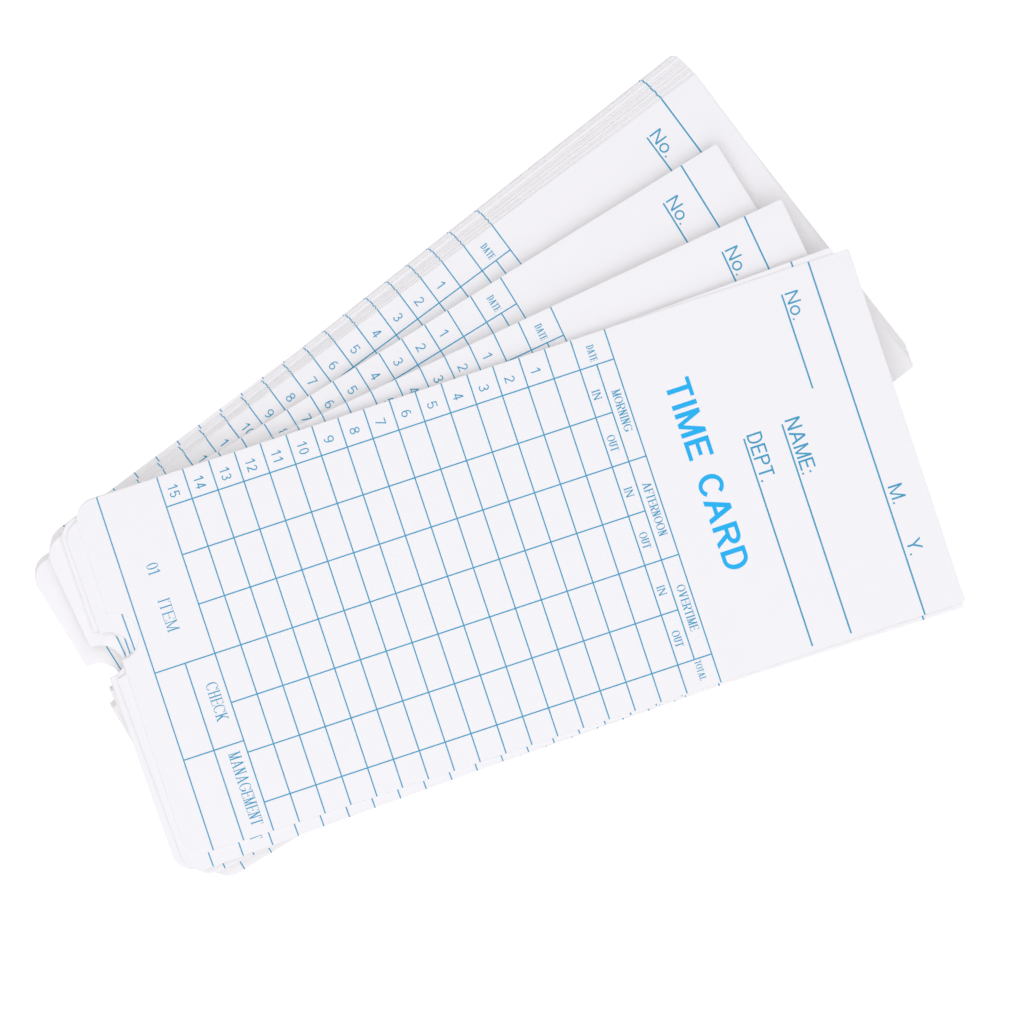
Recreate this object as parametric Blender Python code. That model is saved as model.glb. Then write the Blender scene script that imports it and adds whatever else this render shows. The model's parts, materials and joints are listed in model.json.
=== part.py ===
# A fanned pack of cards for a punch time clock, built card by card.
#
# Every card is one flat sheet of card stock, read with its header at the top: two rounded lower
# corners, two nearly square header corners and a half-round notch in the lower edge. The cards lie
# on each other and are fanned about one upright pinch axis near the notched end, where fingers
# would hold the pack. Each card hangs on an empty that stands on that axis, so turning the empty
# swings the card.
#
# Frame: metres, +Z up. The origin is where the pinch axis meets the underside of the lowest card.

import math

import bpy

MM = 0.001
PACK_NAME = "time_card_pack"

# One card; places on it are measured from its lower left corner, across and then along
CARD_WIDTH = 84.0 * MM
CARD_LENGTH = 185.0 * MM
CARD_THICKNESS = 0.25 * MM
AIR_GAP = 0.10 * MM
LOWER_CORNER_RADIUS = 4.75 * MM
HEADER_CORNER_RADIUS = 0.6 * MM
NOTCH_RADIUS = 5.5 * MM
NOTCH_ACROSS = 31.25 * MM
PINCH_ACROSS = 34.75 * MM
PINCH_ALONG = 22.3 * MM

# Steps of each round stretch of the outline
LOWER_CORNER_STEPS = 6
HEADER_CORNER_STEPS = 2
NOTCH_STEPS = 10

# The pack from its lowest card up, in bunches that were pushed aside together. Each bunch has its
# number of cards and the lay of its lowest and of its top card: the heading of the long axis in
# degrees from +X, then how far the card has slipped on the pinch axis, across and along, in mm.
# The cards between them are spread evenly, apart from a little unevenness in both slips.
BUNCHES = (
    {"cards": 1, "lowest": (38.36, 2.7, -0.1), "top": (38.36, 2.7, -0.1)},
    {"cards": 1, "lowest": (36.66, 4.2, 0.0), "top": (36.66, 4.2, 0.0)},
    {"cards": 4, "lowest": (38.34, 2.4, -0.5), "top": (38.30, 1.4, -0.8)},
    {"cards": 11, "lowest": (38.25, 0.7, -0.8), "top": (36.79, 0.0, 0.0)},
    {"cards": 12, "lowest": (30.90, -1.7, 8.9), "top": (31.84, -2.6, 8.4)},
    {"cards": 13, "lowest": (24.15, -1.9, 6.2), "top": (25.10, -2.7, 5.7)},
    {"cards": 5, "lowest": (19.50, -2.4, 4.3), "top": (19.30, -2.5, 4.05)},
    {"cards": 1, "lowest": (17.88, 0.1, 0.2), "top": (17.88, 0.1, 0.2)},
    {"cards": 1, "lowest": (19.95, -2.96, 2.68), "top": (19.95, -2.96, 2.68)},
    {"cards": 1, "lowest": (18.33, 0.0, 0.0), "top": (18.33, 0.0, 0.0)},
)
UNEVEN_ACROSS = 0.10
UNEVEN_ALONG = 0.12
UNEVEN_TURN = math.radians(137.5)  # from one card to the next, so that no two slip alike

CARD_STOCK_COLOUR = (0.90, 0.89, 0.92, 1.0)
CARD_STOCK_ROUGHNESS = 0.75
CARD_EDGE_SHADE = 0.004  # each card up the pack is this much lighter, so the sheets read apart


def clear_scene():
    for old in list(bpy.data.objects):
        bpy.data.objects.remove(old, do_unlink=True)


def arc(centre_across, centre_along, radius, start_degrees, end_degrees, steps):
    """Points along a circular arc, both ends included."""
    points = []
    for step in range(steps + 1):
        angle = math.radians(start_degrees + (end_degrees - start_degrees) * step / steps)
        across = centre_across + radius * math.cos(angle)
        along = centre_along + radius * math.sin(angle)
        points.append((across, along))
    return points


def card_outline():
    """The card's edge, counterclockwise from its lower left corner."""
    low, high = LOWER_CORNER_RADIUS, HEADER_CORNER_RADIUS
    outline = arc(low, low, low, 180, 270, LOWER_CORNER_STEPS)
    outline += arc(NOTCH_ACROSS, 0.0, NOTCH_RADIUS, 180, 0, NOTCH_STEPS)
    outline += arc(CARD_WIDTH - low, low, low, 270, 360, LOWER_CORNER_STEPS)
    outline += arc(CARD_WIDTH - high, CARD_LENGTH - high, high, 0, 90, HEADER_CORNER_STEPS)
    outline += arc(high, CARD_LENGTH - high, high, 90, 180, HEADER_CORNER_STEPS)
    return outline


def card_sheet():
    """The sheet that every card shares: a filled flat outline with the stock's thickness."""
    sheet = bpy.data.curves.new("card_sheet", "CURVE")
    sheet.dimensions = "2D"
    sheet.fill_mode = "BOTH"
    sheet.extrude = CARD_THICKNESS / 2
    outline = card_outline()
    edge = sheet.splines.new("POLY")
    edge.points.add(len(outline) - 1)
    for point, (across, along) in zip(edge.points, outline):
        point.co = (across, along, 0.0, 1.0)
    edge.use_cyclic_u = True
    return sheet


def card_stock(number, shade):
    """White card stock of one card."""
    stock = bpy.data.materials.new(f"card_stock_{number:02d}")
    stock.use_nodes = True
    shader = stock.node_tree.nodes["Principled BSDF"]
    red, green, blue, alpha = CARD_STOCK_COLOUR
    shader.inputs["Base Color"].default_value = (red - shade, green - shade, blue - shade, alpha)
    shader.inputs["Roughness"].default_value = CARD_STOCK_ROUGHNESS
    shader.inputs["Metallic"].default_value = 0.0
    return stock


def lays():
    """The heading and the two slips of every card, from the lowest card up."""
    found = []
    for bunch in BUNCHES:
        steps = max(bunch["cards"] - 1, 1)
        for place in range(bunch["cards"]):
            share = place / steps
            ends = zip(bunch["lowest"], bunch["top"])
            heading, across, along = (low + (top - low) * share for low, top in ends)
            if 0 < share < 1:
                turn = UNEVEN_TURN * len(found)
                across += UNEVEN_ACROSS * math.sin(turn)
                along += UNEVEN_ALONG * math.cos(2 * turn)
            found.append((heading, across, along))
    return found


def add_card(number, lay, sheet, collection, shade):
    """One card on its own empty, which stands on the pinch axis at the card's level."""
    heading, slip_across, slip_along = lay
    swing = bpy.data.objects.new(f"card_{number:02d}_swing", None)
    swing.location = (0.0, 0.0, (number - 1) * (CARD_THICKNESS + AIR_GAP))
    swing.rotation_euler = (0.0, 0.0, math.radians(heading - 90))
    collection.objects.link(swing)

    card = bpy.data.objects.new(f"card_{number:02d}", sheet)
    card.parent = swing
    held_across = PINCH_ACROSS + slip_across * MM
    held_along = PINCH_ALONG + slip_along * MM
    card.location = (-held_across, -held_along, CARD_THICKNESS / 2)
    collection.objects.link(card)
    card.material_slots[0].link = "OBJECT"
    card.material_slots[0].material = card_stock(number, shade)


def main():
    clear_scene()
    collection = bpy.data.collections.new(PACK_NAME)
    bpy.context.scene.collection.children.link(collection)
    sheet = card_sheet()
    sheet.materials.append(None)
    pack = lays()
    for number, lay in enumerate(pack, start=1):
        shade = CARD_EDGE_SHADE * (len(pack) - number)
        add_card(number, lay, sheet, collection, shade)


main()
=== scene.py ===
# Finish and light for a fanned pack of time clock cards.
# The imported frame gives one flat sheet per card; here every sheet gets die-cut edges, card stock
# and its printed form, and the pack gets a pale floor, soft light and a camera straight above.

import json
import math

import bpy
import numpy as np
from mathutils import Matrix, Vector
from mathutils.geometry import delaunay_2d_cdt


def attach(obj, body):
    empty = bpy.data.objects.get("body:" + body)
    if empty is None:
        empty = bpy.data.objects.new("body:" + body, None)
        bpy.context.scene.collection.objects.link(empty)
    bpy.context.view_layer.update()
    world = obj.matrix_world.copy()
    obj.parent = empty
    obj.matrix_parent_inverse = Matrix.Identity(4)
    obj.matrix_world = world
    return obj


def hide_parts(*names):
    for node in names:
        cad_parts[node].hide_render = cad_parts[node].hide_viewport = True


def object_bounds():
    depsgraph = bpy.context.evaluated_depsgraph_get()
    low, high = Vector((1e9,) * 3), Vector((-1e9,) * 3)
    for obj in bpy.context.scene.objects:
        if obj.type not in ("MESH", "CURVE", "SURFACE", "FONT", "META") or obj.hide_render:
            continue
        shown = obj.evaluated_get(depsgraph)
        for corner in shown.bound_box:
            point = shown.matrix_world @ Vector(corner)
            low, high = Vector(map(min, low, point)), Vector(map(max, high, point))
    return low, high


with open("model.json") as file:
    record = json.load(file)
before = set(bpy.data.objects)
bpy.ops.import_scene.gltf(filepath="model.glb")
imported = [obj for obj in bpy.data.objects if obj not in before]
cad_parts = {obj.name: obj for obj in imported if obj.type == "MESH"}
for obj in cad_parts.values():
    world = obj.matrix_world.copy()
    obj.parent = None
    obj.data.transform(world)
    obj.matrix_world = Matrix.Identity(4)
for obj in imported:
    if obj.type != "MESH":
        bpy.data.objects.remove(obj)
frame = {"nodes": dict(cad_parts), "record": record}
cadBox = [list(corner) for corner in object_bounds()]
print("frame loaded:", len(frame["nodes"]), "cards")

mm = 0.001

# ---- one card, as read with its header at the top: u across, v along, from its lower left corner
cardCut = {
    "width": 84.0 * mm,
    "length": 185.0 * mm,
    "lowerCorner": 4.75 * mm,
    "headerCorner": 0.6 * mm,
    "notchAcross": 31.25 * mm,
    "notchRadius": 5.5 * mm,
    "cornerSteps": 14,
    "headerSteps": 6,
    "notchSteps": 28,
    "sharpDegrees": 50,
    # how the die leaves the edge, from the flat of the face out to the cut: inset, drop
    "edgeRoll": [(0.50, 0.0), (0.28, 0.006), (0.12, 0.020), (0.03, 0.045), (0.0, 0.075)],
}


def arcPoints(centre, radius, startDegrees, endDegrees, steps):
    # centre + radius * (cos t, sin t) for t from start to end
    turn = np.radians(np.linspace(startDegrees, endDegrees, steps + 1))
    return np.array(centre) + radius * np.stack([np.cos(turn), np.sin(turn)], axis=1)


def cardOutline(cut):
    # the edge of the card, counterclockwise from the lower left corner
    w, l, low, high = cut["width"], cut["length"], cut["lowerCorner"], cut["headerCorner"]
    return np.concatenate([
        arcPoints((low, low), low, 180, 270, cut["cornerSteps"]),
        arcPoints((cut["notchAcross"], 0), cut["notchRadius"], 180, 0, cut["notchSteps"]),
        arcPoints((w - low, low), low, 270, 360, cut["cornerSteps"]),
        arcPoints((w - high, l - high), high, 0, 90, cut["headerSteps"]),
        arcPoints((high, l - high), high, 90, 180, cut["headerSteps"]),
    ])


def insetOutline(outline, distance):
    # each corner moves in along the bisector of its two sides, by distance over the sine of half
    # the angle between them, so that every side moves in by distance
    before = outline - np.roll(outline, 1, axis=0)
    after = np.roll(outline, -1, axis=0) - outline
    before /= np.linalg.norm(before, axis=1, keepdims=True)
    after /= np.linalg.norm(after, axis=1, keepdims=True)
    inwardBefore = np.stack([-before[:, 1], before[:, 0]], axis=1)
    inwardAfter = np.stack([-after[:, 1], after[:, 0]], axis=1)
    bisector = inwardBefore + inwardAfter
    reach = 2 / np.sum(bisector * bisector, axis=1, keepdims=True)
    return outline + distance * bisector * reach


def cardMesh(cut, thickness):
    # rings of the outline from the flat of the top face over the rolled edge, down the cut and
    # back to the flat of the underside, joined by strips of quads and closed by two flat faces
    outline = cardOutline(cut)
    roll = [(inset * mm, drop * mm) for inset, drop in cut["edgeRoll"]]
    rings = [(inset, thickness - drop) for inset, drop in roll]
    rings += [(inset, drop) for inset, drop in reversed(roll)]
    count = len(outline)
    points = np.concatenate([
        np.column_stack([insetOutline(outline, inset), np.full(count, level)])
        for inset, level in rings
    ])
    here = np.arange(count)
    there = np.roll(here, -1)
    strips = []
    for ring in range(len(rings) - 1):
        upper, lower = ring * count, (ring + 1) * count
        strips.append(np.stack([upper + here, lower + here, lower + there, upper + there], axis=1))
    faces = np.concatenate(strips).tolist()
    faces.append(here.tolist())
    faces.append(((len(rings) - 1) * count + here[::-1]).tolist())
    mesh = bpy.data.meshes.new("cardSheet")
    mesh.from_pydata(points.tolist(), [], faces)
    # how much of each point is cut edge: 0 on the faces, 1 on the cut
    rolled = np.array([drop for inset, drop in cut["edgeRoll"]])
    rolled = np.concatenate([rolled, rolled[::-1]]) / rolled.max()
    edge = mesh.attributes.new("cutEdge", "FLOAT", "POINT")
    edge.data.foreach_set("value", np.repeat(rolled, count).astype(np.float32))
    addCardMap(mesh)
    mesh.shade_smooth()
    mesh.set_sharp_from_angle(angle=math.radians(cut["sharpDegrees"]))
    return mesh


def addCardMap(mesh):
    # a map in metres on the card: u across and v along, the same on both faces
    corners = np.empty(len(mesh.loops), np.int32)
    mesh.loops.foreach_get("vertex_index", corners)
    points = np.empty(len(mesh.vertices) * 3, np.float32)
    mesh.vertices.foreach_get("co", points)
    cardMap = mesh.uv_layers.new(name="cardMap")
    cardMap.data.foreach_set("uv", points.reshape(-1, 3)[corners, :2].ravel())


# ---- lettering: every letter is a few straight bars and oval bands, in cap heights
lettering = {
    # widths of upright and of level strokes, how far feet stand out, room between letters
    "plain": {"stem": 0.118, "level": 0.108, "foot": 0.0, "room": 0.17},
    "clear": {"stem": 0.128, "level": 0.116, "foot": 0.0, "room": 0.16},
    "heavy": {"stem": 0.190, "level": 0.158, "foot": 0.0, "room": 0.16},
    "roman": {"stem": 0.104, "level": 0.040, "foot": 0.068, "room": 0.07},
    "heavyRoman": {"stem": 0.150, "level": 0.050, "foot": 0.065, "room": 0.05},
    "bandSteps": 20,
    # how wide each letter is drawn before its word is fitted
    "widths": {"A": 0.98, "C": 0.95, "D": 0.84, "E": 0.76, "F": 0.70, "G": 0.96, "H": 0.82, "K": 0.84,
               "L": 0.66, "M": 0.96, "N": 0.82, "O": 0.98, "P": 0.80, "R": 0.86, "T": 0.76, "U": 0.82,
               "V": 0.90, "Y": 0.90, "o": 0.70},
    "digitWidth": 0.64,
    # pairs that stand closer than the rest, by this much
    "tucked": {"CA": 0.13},
}


def bar(x0, x1, y0, y1):
    return [np.array([(x0, y0), (x1, y0), (x1, y1), (x0, y1)], float)]


def slant(x0, x1, wide, y0=0.0, y1=1.0):
    # a slanted bar with level ends, its middle going from x0 at y0 to x1 at y1
    half = wide / 2
    return [np.array([(x0 - half, y0), (x0 + half, y0), (x1 + half, y1), (x1 - half, y1)], float)]


def band(x, y, reachX, reachY, stem, level, start, end):
    # between an oval about (x, y) and one that is smaller by the two stroke widths, in short quads
    steps = max(4, round(lettering["bandSteps"] * abs(end - start) / 360))
    outer = arcPoints((0, 0), 1, start, end, steps)
    inner = outer * (reachX - stem, reachY - level) + (x, y)
    outer = outer * (reachX, reachY) + (x, y)
    return list(np.stack([outer[:-1], outer[1:], inner[1:], inner[:-1]], axis=1))


def stem(x, style, y0=0.0, y1=1.0, feet="both"):
    # an upright with a foot at one or both of its ends, where the style has feet
    half, foot, level = style["stem"] / 2, style["foot"], style["level"]
    shapes = bar(x - half, x + half, y0, y1)
    if foot and feet in ("both", "low"):
        shapes += bar(x - half - foot, x + half + foot, y0, y0 + level)
    if foot and feet in ("both", "high"):
        shapes += bar(x - half - foot, x + half + foot, y1 - level, y1)
    return shapes


def letterShapes(letter, wide, style):
    # left and right are the middles of a letter's outer uprights; thin is a light upright
    s, h, foot = style["stem"], style["level"], style["foot"]
    left, right, middle = foot + s / 2, wide - foot - s / 2, wide / 2
    thin = (s + h) / 2 if foot else s
    spur = bar(wide - h * 1.3, wide, 0.70, 0.98) if foot else []
    roof = bar(0, wide, 1 - h, 1)

    def ticks(*places):
        # the small uprights at the tips of roman arms: x, y from, y to
        return sum((bar(x - h, x, y0, y1) for x, y0, y1 in places), []) if foot else []

    def feet(*places):
        # feet under or over light and slanted strokes: x, y from
        reach = s / 2 + foot
        return sum((bar(x - reach, x + reach, y, y + h) for x, y in places), []) if foot else []

    def ring(y, reach, start, end, share=1.0):
        return band(middle, y, middle * share, reach, s, h, start, end)

    def bowl(y0, y1, share=0.5):
        # an arm out, a half oval and an arm back to the left upright
        turn = left + (wide - left) * share
        arms = bar(left, turn, y1 - h, y1) + bar(left, turn, y0, y0 + h)
        return arms + band(turn, (y0 + y1) / 2, wide - turn, (y1 - y0) / 2, s, h, -90, 90)

    if letter == "A":
        sides = slant(left, middle, thin * 1.08) + slant(right, middle, s * 1.08)
        return sides + bar(wide * 0.22, wide * 0.78, 0.27, 0.27 + h) + feet((left, 0), (right, 0))
    if letter == "C":
        return ring(0.5, 0.5, 38, 322) + spur
    if letter == "D":
        return stem(left, style) + bowl(0, 1, 0.42)
    if letter in "EF":
        arms = bar(left, wide, 1 - h, 1) + bar(left, wide * 0.86, 0.5 - h / 2, 0.5 + h / 2)
        arms += ticks((wide, 0.78, 1), (wide * 0.86, 0.38, 0.62))
        if letter == "E":
            arms += bar(left, wide, 0, h) + ticks((wide, 0, 0.24))
        return stem(left, style) + arms
    if letter == "G":
        chin = bar(wide - s, wide, 0.12, 0.46) + bar(wide * 0.56, wide, 0.46 - h, 0.46)
        return ring(0.5, 0.5, 42, 330) + chin + spur
    if letter == "H":
        return stem(left, style) + stem(right, style) + bar(left, right, 0.5 - h / 2, 0.5 + h / 2)
    if letter == "I":
        return stem(middle, style)
    if letter == "K":
        arms = slant(left + s * 0.4, right, thin * 1.2, 0.34, 1) + slant(right, left + s, s * 1.25, 0, 0.6)
        return stem(left, style) + arms + feet((right, 0), (right, 1 - h))
    if letter == "L":
        return stem(left, style) + bar(left, wide, 0, h) + ticks((wide, 0, 0.26))
    if letter == "M":
        sides = bar(left - thin / 2, left + thin / 2, 0, 1) + stem(right, style)
        valley = slant(middle, left, s * 0.9) + slant(middle, right, thin * 0.9)
        return sides + valley + feet((left, 0), (left, 1 - h))
    if letter == "N":
        sides = bar(left - thin / 2, left + thin / 2, 0, 1) + bar(right - thin / 2, right + thin / 2, 0, 1)
        return sides + slant(right, left, s * 1.15) + feet((left, 0), (left, 1 - h), (right, 1 - h))
    if letter in "O0":
        return ring(0.5, 0.5, 0, 360)
    if letter in "PR":
        leg = slant(right, middle, s * 1.1, 0, 0.5) + feet((right, 0)) if letter == "R" else []
        return stem(left, style) + bowl(0.44, 1) + leg
    if letter == "T":
        return stem(middle, style, feet="low") + roof + ticks((h, 0.76, 1), (wide, 0.76, 1))
    if letter == "U":
        sides = stem(left, style, 0.36, 1, "high") + stem(right, style, 0.36, 1, "high")
        return sides + band(middle, 0.36, middle - foot, 0.36, s, h, 180, 360)
    if letter == "V":
        arms = slant(middle, left, s * 1.08) + slant(middle, right, thin * 1.08)
        return arms + feet((left, 1 - h), (right, 1 - h))
    if letter == "Y":
        arms = slant(middle, left, s * 1.08, 0.40, 1) + slant(middle, right, thin * 1.08, 0.40, 1)
        return arms + stem(middle, style, 0, 0.44, "low") + feet((left, 1 - h), (right, 1 - h))
    if letter == "o":
        return ring(0.36, 0.38, 0, 360)
    if letter == "1":
        if foot:
            return stem(middle, style, feet="low") + slant(middle - 0.2, middle, s * 0.8, 0.78, 1)
        upright = wide * 0.62
        return bar(upright - s / 2, upright + s / 2, 0, 1) + slant(wide * 0.16, upright, s * 1.3, 0.70, 1)
    if letter == "2":
        neck = slant(s * 0.9, wide - s * 0.75, s * 1.3, h, 0.62)
        return ring(0.69, 0.31, -20, 165, 0.96) + neck + bar(0, wide, 0, h)
    if letter == "3":
        return ring(0.735, 0.265, -95, 160, 0.92) + ring(0.28, 0.28, -160, 95)
    if letter == "4":
        cross = bar(0, wide, 0.22, 0.22 + h) + bar(wide * 0.62, wide * 0.62 + s, 0, 1)
        return slant(s * 0.7, wide * 0.66, s * 1.1, 0.24, 1) + cross
    if letter == "5":
        flag = bar(wide * 0.14, wide * 0.92, 1 - h, 1) + slant(wide * 0.12, wide * 0.2, s, 0.46, 1)
        return flag + ring(0.32, 0.32, -155, 140)
    if letter == "6":
        return ring(0.31, 0.31, 0, 360) + ring(0.5, 0.5, 62, 195)
    if letter == "7":
        return roof + slant(wide * 0.34, wide - s * 0.7, s * 1.05, 0, 1 - h / 2)
    if letter == "8":
        return ring(0.745, 0.255, 0, 360, 0.92) + ring(0.28, 0.28, 0, 360)
    if letter == "9":
        return ring(0.69, 0.31, 0, 360) + ring(0.5, 0.5, -118, 15)
    if letter == ".":
        return bar(0, s, 0, s)
    # what is left is the colon
    return bar(0, s, 0, s) + bar(0, s, 0.5, 0.5 + s)


def wordShapes(text, u0, u1, baseline, cap, styleName):
    # letters side by side; those that can are drawn narrower or wider, with the room between
    # them, until the word is as long as it should be, and strokes keep their width
    style = lettering[styleName]
    fixed = {"I": style["stem"] + 2 * style["foot"], ".": style["stem"], ":": style["stem"]}
    drawn = [lettering["widths"].get(letter, lettering["digitWidth"]) for letter in text]
    loose = sum(width for letter, width in zip(text, drawn) if letter not in fixed)
    tucks = [lettering["tucked"].get(pair, 0) for pair in map("".join, zip(text, text[1:] + " "))]
    loose += style["room"] * (len(text) - 1) - sum(tucks)
    stretch = ((u1 - u0) / cap - sum(fixed.get(letter, 0) for letter in text)) / loose
    shapes, start = [], 0.0
    for letter, width, tuck in zip(text, drawn, tucks):
        wide = fixed.get(letter, width * stretch)
        shapes += [(shape + (start, 0)) * cap + (u0, baseline) for shape in letterShapes(letter, wide, style)]
        start += wide + (style["room"] - tuck) * stretch
    return shapes


# ---- the printed form of one card, in mm on the card
form = {
    "lineWidth": 0.30,
    "headerLineWidth": 0.38,
    "inkProud": 0.012,
    "inkSunk": 0.030,
    "bleed": 0.04,
    "rowPitch": 6.147,
    "rows": 15,
    "lastRow": 20.40,
    "bottomLine": 6.10,
    "itemLine": 13.30,
    "headLine": 118.78,
    "subHeadLine": 122.74,
    "tableTop": 126.84,
    "headerLine": 175.35,
    "outerColumns": (7.04, 30.12, 53.53, 77.21),
    "innerColumns": (18.39, 41.83, 65.35),
    "itemColumns": (41.83, 62.55),
    # lines to write on: u from, u to, v
    "writingLines": [(5.2, 27.5, 167.35), (33.0, 82.7, 158.2), (33.4, 82.7, 149.0)],
    # word, u from, u to, baseline v, cap height, style
    "words": [
        ("M.", 53.95, 58.05, 176.4, 3.3, "clear"),
        ("Y.", 66.85, 70.25, 176.4, 3.3, "clear"),
        ("No.", 5.2, 11.5, 168.0, 3.1, "clear"),
        ("NAME:", 32.4, 45.3, 159.0, 3.5, "clear"),
        ("DEPT.", 32.9, 44.0, 149.7, 3.5, "clear"),
        ("MORNING", 13.75, 23.55, 123.95, 2.0, "heavyRoman"),
        ("AFTERNOON", 35.75, 48.45, 123.95, 2.0, "heavyRoman"),
        ("OVERTIME", 60.15, 70.95, 123.95, 2.0, "heavyRoman"),
        ("TOTAL", 77.65, 82.15, 122.5, 1.5, "heavyRoman"),
        ("DATE", 2.35, 6.15, 121.65, 1.7, "heavyRoman"),
        ("CHECK", 47.8, 56.8, 16.05, 2.75, "roman"),
        ("MANAGEMENT", 64.35, 81.6, 16.05, 2.75, "roman"),
        ("01", 18.0, 20.9, 11.8, 2.75, "roman"),
        ("ITEM", 26.5, 34.1, 11.85, 2.75, "roman"),
    ],
    "title": [
        ("TIME", 15.95, 34.45, 135.77, 5.8, "heavy"),
        ("CARD", 38.47, 60.85, 135.77, 5.8, "heavy"),
    ],
    # word, half its length, where it stands across, baseline v, cap height
    "punchWords": [
        ("IN", 1.15, (13.55, 36.7, 60.1), 119.65, 1.9),
        ("OUT", 1.9, (25.05, 48.15, 71.55), 119.65, 1.9),
    ],
    "dayColumn": 4.0,
    "dayCap": 2.3,
    "dayDigit": 1.45,
    "firstDay": 109.2,
    # cards printed a little higher than the rest, as sheets shift in the press
    "printedHigh": {"card_29": 0.15, "card_42": 0.34},
}


def ruledLine(u0, u1, v, half, width):
    # a level line, with corners where it runs over the bends of the card's rolled edges
    bends = [inset for inset, drop in cardCut["edgeRoll"]]
    inside = [u for u in bends + [width - inset for inset in bends] if u0 < u < u1]
    places = sorted([u0, u1] + inside)
    return sum((bar(start, end, v - half, v + half) for start, end in zip(places, places[1:])), [])


def rollDrop(u, width):
    # how far the card's face has dropped at u: the edge roll read at the nearer side
    insets, drops = np.array(cardCut["edgeRoll"][::-1]).T
    return np.interp(np.minimum(u, width - u), insets, drops)


def formRules(form, width):
    # every printed line as a bar
    half, headerHalf = form["lineWidth"] / 2, form["headerLineWidth"] / 2
    left, right = form["bleed"], width - form["bleed"]
    across = [(left, right, form["lastRow"] + form["rowPitch"] * row) for row in range(form["rows"] + 1)]
    across += [(left, right, form[line]) for line in ("bottomLine", "headLine", "tableTop")]
    across.append((form["outerColumns"][0], form["outerColumns"][-1], form["subHeadLine"]))
    across.append((form["itemColumns"][0], right, form["itemLine"]))
    header = [(left, right, form["headerLine"]), *form["writingLines"]]
    along = [(u, form["lastRow"], form["tableTop"]) for u in form["outerColumns"]]
    along += [(u, form["lastRow"], form["subHeadLine"]) for u in form["innerColumns"]]
    along += [(u, form["bottomLine"], form["lastRow"]) for u in form["itemColumns"]]
    shapes = sum((ruledLine(u0, u1, v, half, width) for u0, u1, v in across), [])
    shapes += sum((ruledLine(u0, u1, v, headerHalf, width) for u0, u1, v in header), [])
    return shapes + sum((bar(u - half, u + half, v0, v1) for u, v0, v1 in along), [])


def formWords(form):
    # every printed word but the title, each as its own list of shapes
    words = [wordShapes(*word) for word in form["words"]]
    for text, half, places, baseline, cap in form["punchWords"]:
        words += [wordShapes(text, u - half, u + half, baseline, cap, "heavyRoman") for u in places]
    for day in range(1, form["rows"] + 1):
        half = form["dayDigit"] * len(str(day)) / 2
        baseline = form["firstDay"] - form["rowPitch"] * (day - 1) - form["dayCap"] / 2
        u0, u1 = form["dayColumn"] - half, form["dayColumn"] + half
        words.append(wordShapes(str(day), u0, u1, baseline, form["dayCap"], "plain"))
    return words


def coveredBy(shapes):
    # flat triangles that cover what the shapes cover, none twice: all their corners and sides
    # go into one triangulation, where corners nearer than 1e-5 mm are one corner, and the
    # triangles that lie in a shape are kept
    ends = np.cumsum([len(shape) for shape in shapes])
    faces = [list(range(end - len(shape), end)) for end, shape in zip(ends, shapes)]
    for face, shape in zip(faces, shapes):
        x, y = shape.T
        if x @ np.roll(y, -1) < y @ np.roll(x, -1):  # clockwise
            face.reverse()
    corners = [Vector(corner) for corner in np.concatenate(shapes).tolist()]
    result = delaunay_2d_cdt(corners, [], faces, 0, 1e-5)
    points, triangles, sources = result[0], result[2], result[5]
    kept = [triangle for triangle, source in zip(triangles, sources) if source]
    return np.array([tuple(point) for point in points]), np.array(kept)


def inkFilm(flat, triangles, low, high):
    # the triangles above, turned over below, and a wall down from each side that only one has
    used, triangles = np.unique(triangles, return_inverse=True)
    flat, triangles = flat[used], triangles.reshape(-1, 3)
    count = len(flat)
    points = np.concatenate([
        np.column_stack([flat, np.full(count, high)]),
        np.column_stack([flat, np.full(count, low)]),
    ])
    start = triangles.ravel()
    end = np.roll(triangles, -1, axis=1).ravel()
    rim = ~np.isin(start * count + end, end * count + start)
    start, end = start[rim], end[rim]
    walls = np.stack([start, start + count, end + count, end], axis=1)
    return points, triangles.tolist() + (triangles[:, ::-1] + count).tolist() + walls.tolist()


def printMesh(thickness):
    # the whole form of one card, the ruled lines and every word, as thin closed films of ink;
    # the attribute solidInk is 1 on the title, which is printed in a full tint
    width = cardCut["width"] / mm
    low, high = thickness / mm - form["inkSunk"], thickness / mm + form["inkProud"]
    title = sum((wordShapes(*word) for word in form["title"]), [])
    prints = [formRules(form, width), *formWords(form), title]
    allPoints, allFaces, solid = [], [], []
    for shapes in prints:
        start = sum(map(len, allPoints))
        points, faces = inkFilm(*coveredBy(shapes), low, high)
        points[:, 2] -= rollDrop(points[:, 0], width)
        allPoints.append(points)
        allFaces += [[corner + start for corner in face] for face in faces]
        solid += [float(shapes is prints[-1])] * len(points)
    mesh = bpy.data.meshes.new("cardPrint")
    mesh.from_pydata((np.concatenate(allPoints) * mm).tolist(), [], allFaces)
    mesh.attributes.new("solidInk", "FLOAT", "POINT").data.foreach_set("value", solid)
    addCardMap(mesh)
    return mesh


# ---- where each card lies
def extent(points, heading):
    # the card's reach across and along a heading: u = (sin h, -cos h), v = (cos h, sin h)
    across = points @ np.array([np.sin(heading), -np.cos(heading)])
    along = points @ np.array([np.cos(heading), np.sin(heading)])
    return across, along


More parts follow.
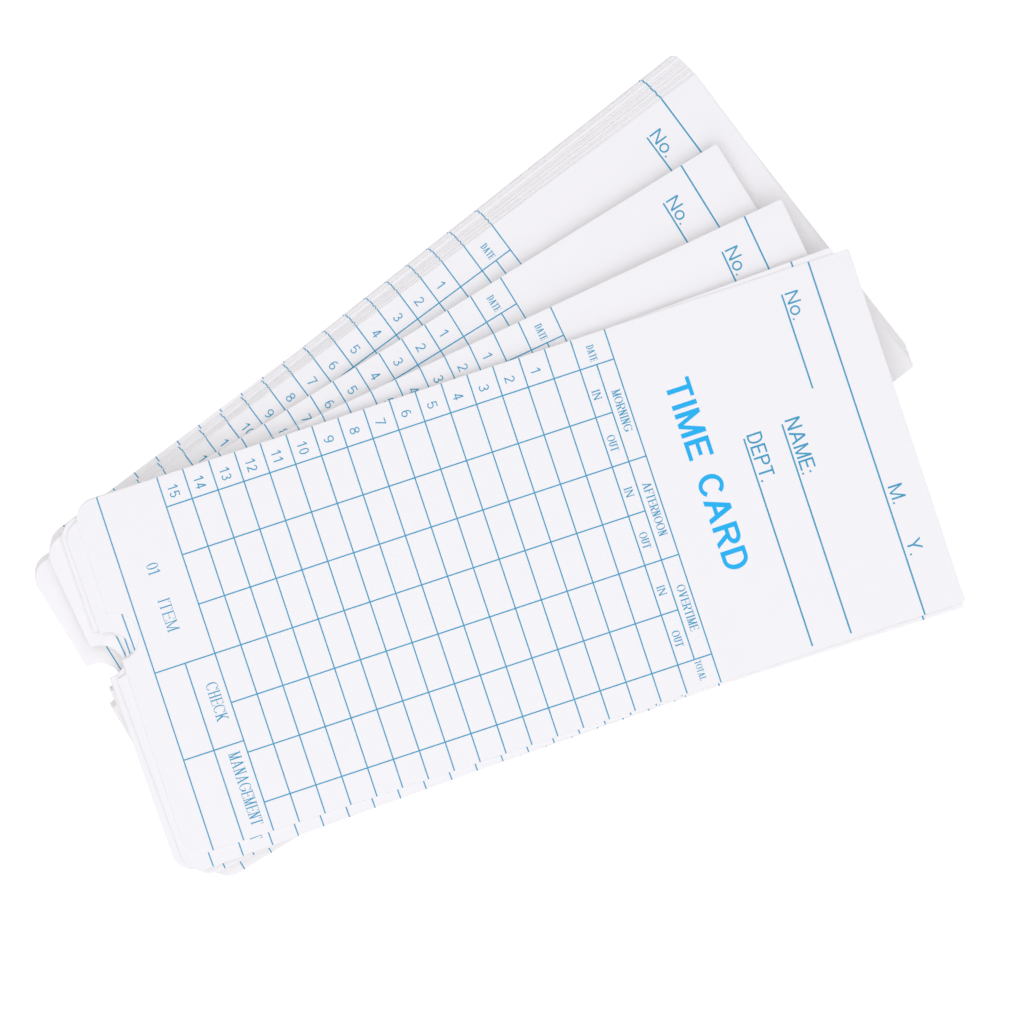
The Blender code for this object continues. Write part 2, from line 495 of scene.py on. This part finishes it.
def cardLay(node):
    # a card is narrowest across its long axis, so the heading is the one with the least reach
    # across: first on wide steps, then in rounds of 41 tries one step either side of the best,
    # each round 15 times finer; its notched end has most of the outline's points, so the mean
    # reach along is nearer to that end
    flat = np.array([v.co for v in frame["nodes"][node].data.vertices])
    points = flat[:, :2]
    step = math.radians(2)
    tries = np.arange(0, math.pi, step)
    for finerRound in range(6):
        across, along = extent(points, tries)
        best = tries[np.argmin(np.ptp(across, axis=0))]
        tries = best + np.linspace(-step, step, 41)
        step /= 15
    across, along = extent(points, best)
    if along.mean() > (along.min() + along.max()) / 2:
        best += math.pi
        across, along = extent(points, best)
    corner = (across.min() * np.array([np.sin(best), -np.cos(best)])
              + along.min() * np.array([np.cos(best), np.sin(best)]))
    return best, corner, flat[:, 2].min(), flat[:, 2].max()


def layMatrix(heading, corner, level):
    turn = Matrix.Rotation(heading - math.pi / 2, 4, "Z")
    return Matrix.Translation((corner[0], corner[1], level)) @ turn


# ---- finishes
class Maths:
    # a socket that takes part in sums; each sum adds one Math node
    def __init__(self, finish, socket):
        self.finish, self.socket = finish, socket

    def sum(self, operation, a, b):
        return self.finish.value("ShaderNodeMath", {"operation": operation}, {0: a, 1: b})

    def __add__(self, other):
        return self.sum("ADD", self, other)

    def __radd__(self, other):
        return self.sum("ADD", other, self)

    def __sub__(self, other):
        return self.sum("SUBTRACT", self, other)

    def __rsub__(self, other):
        return self.sum("SUBTRACT", other, self)

    def __mul__(self, other):
        return self.sum("MULTIPLY", self, other)

    def __rmul__(self, other):
        return self.sum("MULTIPLY", other, self)


class Finish:
    # one material and its nodes
    def __init__(self, name):
        self.material = bpy.data.materials.new(name)
        self.material.use_nodes = True
        self.tree = self.material.node_tree
        self.shader = self.tree.nodes["Principled BSDF"]

    def node(self, kind, settings=None, inputs=None):
        made = self.tree.nodes.new(kind)
        for name, setting in (settings or {}).items():
            setattr(made, name, setting)
        for name, given in (inputs or {}).items():
            self.feed(made.inputs[name], given)
        return made

    def value(self, kind, settings=None, inputs=None, output=0):
        return Maths(self, self.node(kind, settings, inputs).outputs[output])

    def noise(self, vector, scale, detail, roughness):
        inputs = {"Vector": vector, "Scale": scale, "Detail": detail, "Roughness": roughness}
        return self.value("ShaderNodeTexNoise", {}, inputs)

    def feed(self, socket, given):
        if isinstance(given, Maths):
            self.tree.links.new(given.socket, socket)
        elif isinstance(given, bpy.types.NodeSocket):
            self.tree.links.new(given, socket)
        else:
            socket.default_value = given

    def mix(self, factor, a, b):
        # sockets 0, 6 and 7 are the factor and the two colours
        made = self.node("ShaderNodeMix", {"data_type": "RGBA"})
        for socket, given in ((made.inputs[0], factor), (made.inputs[6], a), (made.inputs[7], b)):
            self.feed(socket, given)
        return made.outputs[2]


stock = {
    "white": (0.935, 0.920, 0.908, 1),
    "cloud": (0.920, 0.903, 0.890, 1),
    "cutEdge": (0.93, 0.905, 0.88, 1),
    "roughness": 0.62,
    "specular": 0.35,
    "fibre": 0.25,
    "relief": 0.02 * mm,
    # noise cells per metre: clouds, and fibres across and along the card
    "cloudScale": 180.0,
    "fibreScale": (5200.0, 1500.0, 1.0),
}


def cardStock():
    finish = Finish("cardStock")
    onCard = finish.node("ShaderNodeUVMap", {"uv_map": "cardMap"}).outputs[0]
    # the cloudy look of pressed fibres, and the fibres themselves, longer along the card
    cloud = finish.noise(onCard, stock["cloudScale"], 4.0, 0.6)
    stretched = {"Vector": onCard, "Scale": stock["fibreScale"]}
    longFibres = finish.node("ShaderNodeMapping", {}, stretched).outputs[0]
    fibre = finish.noise(longFibres, 1.0, 3.0, 0.55)
    edge = finish.value("ShaderNodeAttribute", {"attribute_name": "cutEdge"}, output=2)
    face = finish.mix(cloud, stock["cloud"], stock["white"])
    finish.feed(finish.shader.inputs["Base Color"], finish.mix(edge * 0.9, face, stock["cutEdge"]))
    finish.feed(finish.shader.inputs["Roughness"], stock["roughness"] + 0.16 * fibre + 0.1 * edge)
    relief = {"Strength": stock["fibre"], "Distance": stock["relief"], "Height": fibre + 0.5 * cloud}
    bump = finish.node("ShaderNodeBump", {}, relief)
    finish.feed(finish.shader.inputs["Normal"], bump.outputs[0])
    finish.shader.inputs["Specular IOR Level"].default_value = stock["specular"]
    return finish.material


ink = {
    "solid": (0.004, 0.440, 0.845, 1),
    "solidWorn": (0.018, 0.470, 0.865, 1),
    "fine": (0.038, 0.328, 0.530, 1),
    "fineWorn": (0.064, 0.368, 0.570, 1),
    "roughness": 0.48,
    "specular": 0.22,
    "grainScale": 2600.0,
}


def formInk():
    # fine lines and words take a thinner, duller film than the title's full tint
    finish = Finish("formInk")
    onCard = finish.node("ShaderNodeUVMap", {"uv_map": "cardMap"}).outputs[0]
    grain = finish.noise(onCard, ink["grainScale"], 2.0, 0.6)
    solid = finish.value("ShaderNodeAttribute", {"attribute_name": "solidInk"}, output=2)
    fineInk = finish.mix(grain, ink["fine"], ink["fineWorn"])
    solidInk = finish.mix(grain, ink["solid"], ink["solidWorn"])
    finish.feed(finish.shader.inputs["Base Color"], finish.mix(solid, fineInk, solidInk))
    finish.feed(finish.shader.inputs["Roughness"], ink["roughness"] + 0.2 * grain)
    finish.shader.inputs["Specular IOR Level"].default_value = ink["specular"]
    return finish.material


# ---- the pack
nodes = sorted(frame["nodes"])
bodies = frame["record"]["behaviour"]["bodies"]
bodyOf = {node: body for body, members in bodies.items() for node in members}
heading, corner, low, high = cardLay(nodes[0])
thickness = high - low
sheetTemplate = cardMesh(cardCut, thickness)
print("card sheet:", len(sheetTemplate.polygons), "faces")
printTemplate = printMesh(thickness)
print("card print:", len(printTemplate.polygons), "faces")
sheetTemplate.materials.append(cardStock())
printTemplate.materials.append(formInk())

for node in nodes:
    heading, corner, low, high = cardLay(node)
    place = layMatrix(heading, corner, low)
    sheetData, printData = sheetTemplate.copy(), printTemplate.copy()
    sheetData.transform(place)
    raised = Matrix.Translation((0, form["printedHigh"].get(node, 0) * mm, 0))
    printData.transform(place @ raised)
    sheet = bpy.data.objects.new(node + "_sheet", sheetData)
    inked = bpy.data.objects.new(node + "_print", printData)
    for piece, slotName in ((sheet, "card_stock"), (inked, "form_ink")):
        bpy.context.scene.collection.objects.link(piece)
        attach(piece, bodyOf[node])
    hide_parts(node)
print("pack laid out")


# ---- floor, light and camera
studio = {
    "floor": (0.32, 0.32, 0.32, 1),
    "floorRoughness": 0.9,
    "floorGlow": 0.80,
    "floorReach": 3.0,
    "floorLevel": -0.2 * mm,
    "lightTint": (0.984, 0.988, 1.045),
    "sky": 0.447,
    # lamp: name, power, side, where it stands from the middle of the view
    "lamps": [
        ("overhead", 14.3, 2.0, (0.0, 0.0, 1.5)),
        ("key", 4.8, 1.6, (-0.15, -0.85, 1.10)),
    ],
    "cameraHeight": 0.700,
    "fieldWidth": 0.2312,
    "target": (0.0675, 0.0246),
}


def addFloor():
    mesh = bpy.data.meshes.new("floor")
    reach, level = studio["floorReach"], studio["floorLevel"]
    sides = [(-reach, -reach), (reach, -reach), (reach, reach), (-reach, reach)]
    mesh.from_pydata([(x, y, level) for x, y in sides], [], [(0, 1, 2, 3)])
    floor = bpy.data.objects.new("floor", mesh)
    bpy.context.scene.collection.objects.link(floor)
    finish = Finish("paleFloor")
    finish.shader.inputs["Base Color"].default_value = studio["floor"]
    finish.shader.inputs["Roughness"].default_value = studio["floorRoughness"]
    finish.shader.inputs["Emission Color"].default_value = (1, 1, 1, 1)
    finish.shader.inputs["Emission Strength"].default_value = studio["floorGlow"]
    mesh.materials.append(finish.material)


def addLight():
    sky = bpy.data.worlds.new("sky")
    sky.use_nodes = True
    background = sky.node_tree.nodes["Background"]
    background.inputs["Color"].default_value = (*studio["lightTint"], 1)
    background.inputs["Strength"].default_value = studio["sky"]
    bpy.context.scene.world = sky
    for name, power, side, away in studio["lamps"]:
        light = bpy.data.lights.new(name, "AREA")
        light.size = side
        light.energy = power
        light.color = studio["lightTint"]
        lamp = bpy.data.objects.new(name, light)
        lamp.location = Vector((*studio["target"], 0)) + Vector(away)
        lamp.rotation_euler = Vector(away).to_track_quat("Z", "Y").to_euler()
        bpy.context.scene.collection.objects.link(lamp)


def addCamera():
    camera = bpy.data.cameras.new("camera")
    top = cadBox[1][2]
    camera.sensor_width = 36.0
    camera.lens = camera.sensor_width * studio["cameraHeight"] / studio["fieldWidth"]
    camera.clip_start = 0.01
    eye = bpy.data.objects.new("camera", camera)
    eye.location = (*studio["target"], top + studio["cameraHeight"])
    bpy.context.scene.collection.objects.link(eye)
    bpy.context.scene.camera = eye


addFloor()
addLight()
addCamera()
bpy.context.scene.view_settings.view_transform = "Standard"
print("studio ready")
